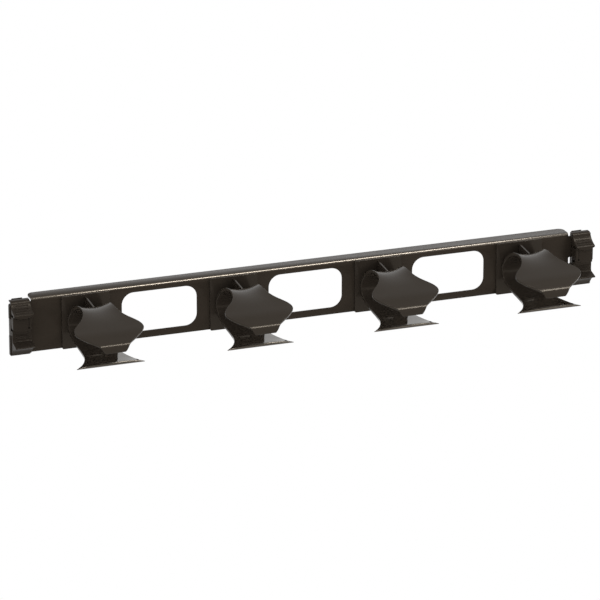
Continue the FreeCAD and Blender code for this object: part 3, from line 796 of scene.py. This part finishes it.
def build_pad(name, upper, edge):
    """The pad of one slider, with room for the feet of the lower springs."""
    bm = bmesh.new()
    if upper:
        hang(prism(bm, upper_pad_outline(), "X", *PAD_SIDES, steps=PAD_STEPS), LIP_UNDERSIDE)
    else:
        hang(prism(bm, LOWER_RIM + LOWER_PAD, "X", *PAD_SIDES, steps=PAD_STEPS), LOWER_RIM)
    pad = object_from(bm, name, "latch_plastic")
    bm = bmesh.new()
    for x in PEG_MIDDLES:
        prism(bm, circle(x, SPRING_FORWARD, POCKET_RADIUS), "Z", *POCKET)
    pockets = object_from(bm, name + "_pockets", "latch_plastic")
    soften(pad, edge, segments=3, angle=20)
    cut = pad.modifiers.new("spring pockets", "BOOLEAN")
    cut.operation = "DIFFERENCE"
    cut.object = pockets
    plain_mesh(pad)
    bpy.data.objects.remove(pockets)
    return pad


def build_core(name, upper, edge):
    """Neck, lugs and spring pegs of one slider."""
    bm = bmesh.new()
    for outline, half in ((NECK, NECK_HALF), (LUG, LUG_HALF)):
        if not upper:
            outline = mirrored_outline(outline)
        prism(bm, outline, "X", NECK_MIDDLE - half, NECK_MIDDLE + half)
    for x in PEG_MIDDLES:
        prism(bm, circle(x, SPRING_FORWARD, PEG_RADIUS, 20), "Z", *(UPPER_PEG if upper else LOWER_PEG))
    core = object_from(bm, name + "_core", "latch_plastic")
    soften(core, edge, segments=3, angle=20)
    return plain_mesh(core)


def build_ribs(name, upper, sizes):
    """Grip ribs: in the hollow of the upper pad, or down the front of the lower one."""
    count = sizes.upper_ribs if upper else sizes.lower_ribs
    shares = [i / max(1, count - 1) for i in range(count)]
    if upper:
        places = arc_points(*HOLLOW, [FIRST_RIB + RIB_SPAN * share for share in shares])
    else:
        (f0, u0), (f1, u1) = LOWER_RIBS
        places = [(f0 + (f1 - f0) * share, u0 + (u1 - u0) * share) for share in shares]
    points = [(PAD_MIDDLE * MM, FACE_Y - forward * MM, up * MM) for forward, up in places]
    ribs = grow(name + "_ribs", rib_tree(), "latch_plastic", {
        "Length": PAD_WIDTH * MM - 2 * sizes.rib_inset,
        "Radius": sizes.rib,
    }, points)
    ribs.data.shade_smooth()
    return ribs


def build_slider(name, upper):
    """One slider at the right end, as one plain mesh object."""
    sizes = bpy.context.scene.manager_latch
    pad = build_pad(name, upper, sizes.edge)
    core = build_core(name, upper, sizes.edge)
    return join(pad, core, build_ribs(name, upper, sizes))


def mirror_to_left(piece):
    """Turns a piece built at the right end into the one at the left end."""
    bm = bmesh.new()
    bm.from_mesh(piece.data)
    bm.transform(Matrix.Scale(-1, 4, (1, 0, 0)))
    bmesh.ops.reverse_faces(bm, faces=bm.faces)
    bm.to_mesh(piece.data)
    bm.free()


class MANAGER_OT_sliders(bpy.types.Operator):
    """Upper and lower thumb pads of both latches"""
    bl_idname = "manager.sliders"
    bl_label = "Latch sliders"

    def execute(self, context):
        for side in SIDES:
            for level in ("upper", "lower"):
                slider = build_slider("%s_%s_pad" % (side, level), level == "upper")
                if side == "left":
                    mirror_to_left(slider)
                hand_over(slider, "%s_%s_slider" % (side, level), "latch_plastic",
                          "%s_latch_%s_slider" % (side, level))
        return {"FINISHED"}


class MANAGER_OT_springs(bpy.types.Operator):
    """Coil springs that push the sliders apart"""
    bl_idname = "manager.springs"
    bl_label = "Springs"

    def execute(self, context):
        sizes = context.scene.manager_latch
        for side in SIDES:
            for level in ("upper", "lower"):
                node = "%s_latch_%s_springs" % (side, level)
                low, high = (corner.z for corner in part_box(node))
                sign = -1 if side == "left" else 1
                points = [(sign * x * MM, FACE_Y - SPRING_FORWARD * MM, low + sizes.wire / 2)
                          for x in PEG_MIDDLES]
                springs = grow("%s_%s_springs" % (side, level), spring_tree(), "spring_steel", {
                    "Turns": float(sizes.turns),
                    "Coil Radius": sizes.coil,
                    "Wire Radius": sizes.wire / 2,
                    "Height": high - low - sizes.wire,
                }, points)
                springs.data.shade_smooth()
                hand_over(springs, "frame", "spring_steel", node)
                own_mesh(springs)
        return {"FINISHED"}


LATCH_SCREW_OUT = 5.6 * MM                # of each latch screw from the middle of the latch
HOOK_SCREW_EDGE = 0.12 * MM
LATCH_SCREW_EDGE = 0.08 * MM


class MANAGER_OT_screws(bpy.types.Operator):
    """Hook screws behind the panel and the small latch screws"""
    bl_idname = "manager.screws"
    bl_label = "Screws"

    def execute(self, context):
        pan = merged_node("hook_screws_1")
        lower = [v for v in pan.verts if v.co.z < 0]
        bmesh.ops.delete(pan, geom=lower, context="VERTS")
        bmesh.ops.translate(pan, verts=pan.verts, vec=(-HOOKS[0], 0, -SCREW_UP * MM))
        places = [(x, 0, side * SCREW_UP * MM) for x in HOOKS for side in (-1, 1)]
        self.fasten("hook_screws", pan, places, ["hook_screws_%d" % n for n in HOOK_NUMBERS],
                    HOOK_SCREW_EDGE)

        small = merged_node("right_latch_screws")
        middle = sum(PEG_MIDDLES) / 2 * MM
        inner = [v for v in small.verts if v.co.x < middle]
        bmesh.ops.delete(small, geom=inner, context="VERTS")
        bmesh.ops.translate(small, verts=small.verts, vec=(-middle - LATCH_SCREW_OUT, 0, 0))
        places = [(end * (middle + way * LATCH_SCREW_OUT), 0, 0) for end in (-1, 1) for way in (-1, 1)]
        self.fasten("latch_screws", small, places, ["%s_latch_screws" % side for side in SIDES],
                    LATCH_SCREW_EDGE)
        return {"FINISHED"}

    def fasten(self, name, bm, places, nodes, radius):
        """Sets one softened screw in every place, for all the nodes that it replaces."""
        screw = object_from(bm, name + "_pattern", "black_screw_steel")
        soften(screw, radius)
        plain_mesh(screw)
        screws = grow(name, screw_tree(), "black_screw_steel", {"Screw": screw}, places)
        bpy.data.objects.remove(screw)
        hand_over(screws, "frame", "black_screw_steel", *nodes)


# ---------------------------------------------------------------- stage

CAMERA_PLACE = (-1.08571, -2.92916, 1.10566)
CAMERA_TURN, CAMERA_DIP = 20.2745, 19.6239     # degrees to the right, and down
CAMERA_LENS, CAMERA_SENSOR = 254.6, 36         # millimetres
CAMERA_REACH = 20
FLOOR_HALF = 8
FLOOR_LEVEL = -0.4
SURROUNDING_LIGHT = 0.8                        # what the surroundings give matt surfaces; seen, they are 1

# Soft boxes: name, place, width, height, watts, and whether they light more than the gloss
LAMPS = (
    ("edge_strip", (0.49, -0.66, 1.25), 2.0, 0.3, 45.0, False),
    ("side_softbox", (1.5, -1.5, 0.3), 0.8, 0.8, 6.0, True),
)


def add_camera(context):
    camera = bpy.data.objects.new("camera", bpy.data.cameras.new("camera"))
    camera.data.lens = CAMERA_LENS
    camera.data.sensor_width = CAMERA_SENSOR
    camera.data.clip_end = CAMERA_REACH
    camera.location = CAMERA_PLACE
    camera.rotation_euler = (math.radians(90 - CAMERA_DIP), 0, math.radians(-CAMERA_TURN))
    context.collection.objects.link(camera)
    context.scene.camera = camera


def add_lamp(context, name, spot, width, height, watts, full):
    """A soft box that looks at the middle of the cable manager."""
    lamp = bpy.data.objects.new(name, bpy.data.lights.new(name, "AREA"))
    lamp.data.shape = "RECTANGLE"
    lamp.data.size = width
    lamp.data.size_y = height
    lamp.data.energy = watts
    lamp.location = spot
    lamp.rotation_euler = (-Vector(spot)).to_track_quat("-Z", "Y").to_euler()
    lamp.visible_camera = False
    lamp.visible_diffuse = full
    context.collection.objects.link(lamp)


def seen_directly(tree):
    """1 for what the camera sees directly, in a gloss or through glass."""
    path = add_node(tree, "ShaderNodeLightPath")
    gloss = add_node(tree, "ShaderNodeMath", {"operation": "MAXIMUM"},
                     Value=path.outputs["Is Camera Ray"], Value_001=path.outputs["Is Glossy Ray"])
    either = add_node(tree, "ShaderNodeMath", {"operation": "MAXIMUM"},
                      Value=gloss.outputs["Value"], Value_001=path.outputs["Is Transmission Ray"])
    return either.outputs["Value"]


def add_floor(context):
    """A pale matt floor that is plain white where it is seen."""
    bm = bmesh.new()
    bmesh.ops.create_grid(bm, x_segments=1, y_segments=1, size=FLOOR_HALF)
    bmesh.ops.translate(bm, verts=bm.verts, vec=(0, 0, FLOOR_LEVEL))
    mesh = bpy.data.meshes.new("floor")
    bm.to_mesh(mesh)
    bm.free()
    floor = bpy.data.objects.new("floor", mesh)
    context.collection.objects.link(floor)
    material = bpy.data.materials.new("pale_floor")
    material.use_nodes = True
    tree = material.node_tree
    tree.nodes.clear()
    matt = add_node(tree, "ShaderNodeBsdfDiffuse", Color=(*linear("#e6e6e6"), 1))
    white = add_node(tree, "ShaderNodeEmission", Color=(1, 1, 1, 1), Strength=1.0)
    blend = add_node(tree, "ShaderNodeMixShader", Fac=seen_directly(tree))
    tree.links.new(matt.outputs["BSDF"], blend.inputs[1])
    tree.links.new(white.outputs["Emission"], blend.inputs[2])
    add_node(tree, "ShaderNodeOutputMaterial", Surface=blend.outputs["Shader"])
    floor.data.materials.append(material)


def add_surroundings(scene):
    world = bpy.data.worlds.new("white_surroundings")
    world.use_nodes = True
    tree = world.node_tree
    tree.nodes.clear()
    strength = add_node(tree, "ShaderNodeMapRange", Value=seen_directly(tree),
                        To_Min=SURROUNDING_LIGHT, To_Max=1.0)
    sky = add_node(tree, "ShaderNodeBackground", Color=(1, 1, 1, 1), Strength=strength.outputs["Result"])
    add_node(tree, "ShaderNodeOutputWorld", Surface=sky.outputs["Background"])
    scene.world = world


class MANAGER_OT_stage(bpy.types.Operator):
    """Pale floor, white surroundings, soft lamps and the camera"""
    bl_idname = "manager.stage"
    bl_label = "Stage"

    def execute(self, context):
        context.scene.view_settings.view_transform = "Standard"
        add_camera(context)
        for lamp in LAMPS:
            add_lamp(context, *lamp)
        add_floor(context)
        add_surroundings(context.scene)
        return {"FINISHED"}


# ---------------------------------------------------------------- add-on

class MANAGER_PT_sidebar(bpy.types.Panel):
    """Lists the pieces of the cable manager"""
    bl_idname = "MANAGER_PT_sidebar"
    bl_label = "Cable Manager"
    bl_space_type = "VIEW_3D"
    bl_region_type = "UI"
    bl_category = "Cable Manager"

    def draw(self, context):
        for group in (context.scene.manager_hook, context.scene.manager_latch,
                      context.scene.manager_colours):
            box = self.layout.box()
            for key in group.__annotations__:
                box.prop(group, key)
        for operator in OPERATORS:
            self.layout.operator(operator.bl_idname)


OPERATORS = (MANAGER_OT_stage, MANAGER_OT_panel, MANAGER_OT_hooks, MANAGER_OT_housings,
             MANAGER_OT_sliders, MANAGER_OT_springs, MANAGER_OT_screws)
CLASSES = (HookSizes, LatchSizes, FinishColours, *OPERATORS, MANAGER_PT_sidebar)


def register():
    for cls in CLASSES:
        bpy.utils.register_class(cls)
    bpy.types.Scene.manager_hook = PointerProperty(type=HookSizes)
    bpy.types.Scene.manager_latch = PointerProperty(type=LatchSizes)
    bpy.types.Scene.manager_colours = PointerProperty(type=FinishColours)


def unregister():
    del bpy.types.Scene.manager_colours
    del bpy.types.Scene.manager_latch
    del bpy.types.Scene.manager_hook
    for cls in reversed(CLASSES):
        bpy.utils.unregister_class(cls)


def main():
    register()
    for operator in OPERATORS:
        group, name = operator.bl_idname.split(".")
        getattr(getattr(bpy.ops, group), name)()


if __name__ == "__main__":
    main()
